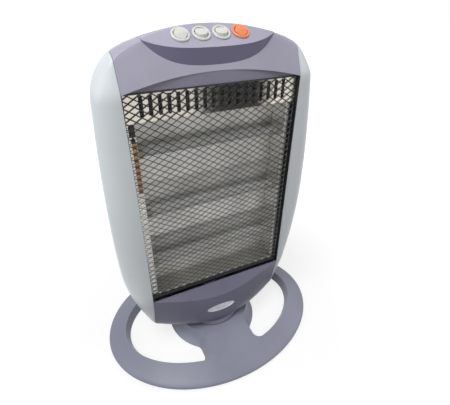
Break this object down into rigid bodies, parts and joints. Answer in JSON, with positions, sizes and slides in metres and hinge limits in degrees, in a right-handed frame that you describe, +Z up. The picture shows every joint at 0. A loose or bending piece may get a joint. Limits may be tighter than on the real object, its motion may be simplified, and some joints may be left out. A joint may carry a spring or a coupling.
{
  "type": "halogen heater",
  "caption": "Free-standing halogen heater: slim body with guarded quartz tubes and round rocker switches, swinging side to side on an open oval base.",
  "frame": {"origin": "on the floor under the middle of the oval base, on the pivot axis", "axes": "+Z up, -Y out of the guarded front, +X to the viewer's right when facing the front"},
  "size_m": [0.4, 0.3, 0.5236],
  "materials": {
    "lilac_plastic": "fine texture, grey lilac",
    "white_plastic": "semi-gloss cool white",
    "plate_steel": "zinc plated sheet",
    "screw_steel": "zinc plated",
    "pad_rubber": "matt",
    "black_plastic": "matt",
    "ivory_plastic": "semi-gloss",
    "orange_plastic": "semi-gloss",
    "badge_metal": "satin, blank",
    "guard_wire": "black enamel",
    "strip_metal": "bright sheet",
    "reflector_metal": "polished, lightly rippled",
    "quartz": "milky quartz",
    "filament_metal": "dull resistance wire",
    "ceramic": "unglazed",
    "copper": "plain strip",
    "motor_case": "zinc plated can"
  },
  "bodies": {
    "base": {"base_moulding": "lilac_plastic", "base_plate": "plate_steel", "foot_pad_1": "pad_rubber", "foot_pad_2": "pad_rubber", "foot_pad_3": "pad_rubber", "foot_pad_4": "pad_rubber", "base_screw_1": "screw_steel", "base_screw_2": "screw_steel", "base_screw_3": "screw_steel", "base_screw_4": "screw_steel", "tilt_switch": "black_plastic", "pivot_tube": "plate_steel", "retaining_nut": "plate_steel", "link_arm": "plate_steel"},
    "tilt_plunger": {"tilt_plunger": "ivory_plastic"},
    "heater_body": {"turntable_skirt": "lilac_plastic", "floor_tray": "black_plastic", "bottom_cover": "lilac_plastic", "rear_shell": "white_plastic", "top_cover": "lilac_plastic", "badge": "badge_metal", "rear_screw_1": "screw_steel", "rear_screw_2": "screw_steel", "rear_screw_3": "screw_steel", "rear_screw_4": "screw_steel", "guard_mesh": "guard_wire", "top_strip": "strip_metal", "reflector": "reflector_metal", "side_plate_left": "plate_steel", "side_plate_right": "plate_steel", "quartz_tube_1": "quartz", "quartz_tube_2": "quartz", "quartz_tube_3": "quartz", "filament_1": "filament_metal", "filament_2": "filament_metal", "filament_3": "filament_metal", "tube_cap_left_1": "ceramic", "tube_cap_left_2": "ceramic", "tube_cap_left_3": "ceramic", "tube_cap_right_1": "ceramic", "tube_cap_right_2": "ceramic", "tube_cap_right_3": "ceramic", "bus_strip": "copper", "motor": "motor_case", "motor_bracket": "plate_steel", "thermal_cutout": "black_plastic", "terminal_block": "ivory_plastic", "cord_gland": "black_plastic", "switch_housing_1": "ivory_plastic", "switch_housing_2": "ivory_plastic", "switch_housing_3": "ivory_plastic", "switch_housing_4": "orange_plastic"},
    "rocker_1": {"rocker_1": "ivory_plastic"},
    "rocker_2": {"rocker_2": "ivory_plastic"},
    "rocker_3": {"rocker_3": "ivory_plastic"},
    "rocker_4": {"rocker_4": "orange_plastic"},
    "crank": {"crank": "ivory_plastic"}
  },
  "joints": [
    {"name": "oscillation", "type": "hinge", "parent": "base", "child": "heater_body", "pos_m": [0, 0, 0.03], "axis": [0, 0, 1], "range_deg": [-35, 35]},
    {"name": "crank_turn", "type": "hinge", "parent": "heater_body", "child": "crank", "pos_m": [0, 0.024, 0.057], "axis": [0, 0, 1], "range_deg": [-125, 125]},
    {"name": "plunger_drop", "type": "slide", "parent": "base", "child": "tilt_plunger", "axis": [0, 0, 1], "range_m": [-0.005, 0], "stiffness_N_per_m": 40, "springref_m": -0.005},
    {"name": "rocker_1_press", "type": "hinge", "parent": "heater_body", "child": "rocker_1", "pos_m": [-0.03818, -0.0136, 0.51411], "axis": [1, 0, 0], "range_deg": [-28, 0]},
    {"name": "rocker_2_press", "type": "hinge", "parent": "heater_body", "child": "rocker_2", "pos_m": [-0.01273, -0.0136, 0.51411], "axis": [1, 0, 0], "range_deg": [0, 28]},
    {"name": "rocker_3_press", "type": "hinge", "parent": "heater_body", "child": "rocker_3", "pos_m": [0.01273, -0.0136, 0.51411], "axis": [1, 0, 0], "range_deg": [0, 28]},
    {"name": "rocker_4_press", "type": "hinge", "parent": "heater_body", "child": "rocker_4", "pos_m": [0.03818, -0.0136, 0.51411], "axis": [1, 0, 0], "range_deg": [-28, 0]}
  ],
  "couplings": [
    {"joint": "crank_turn", "follows": "oscillation", "ratio": -3.571}
  ]
}
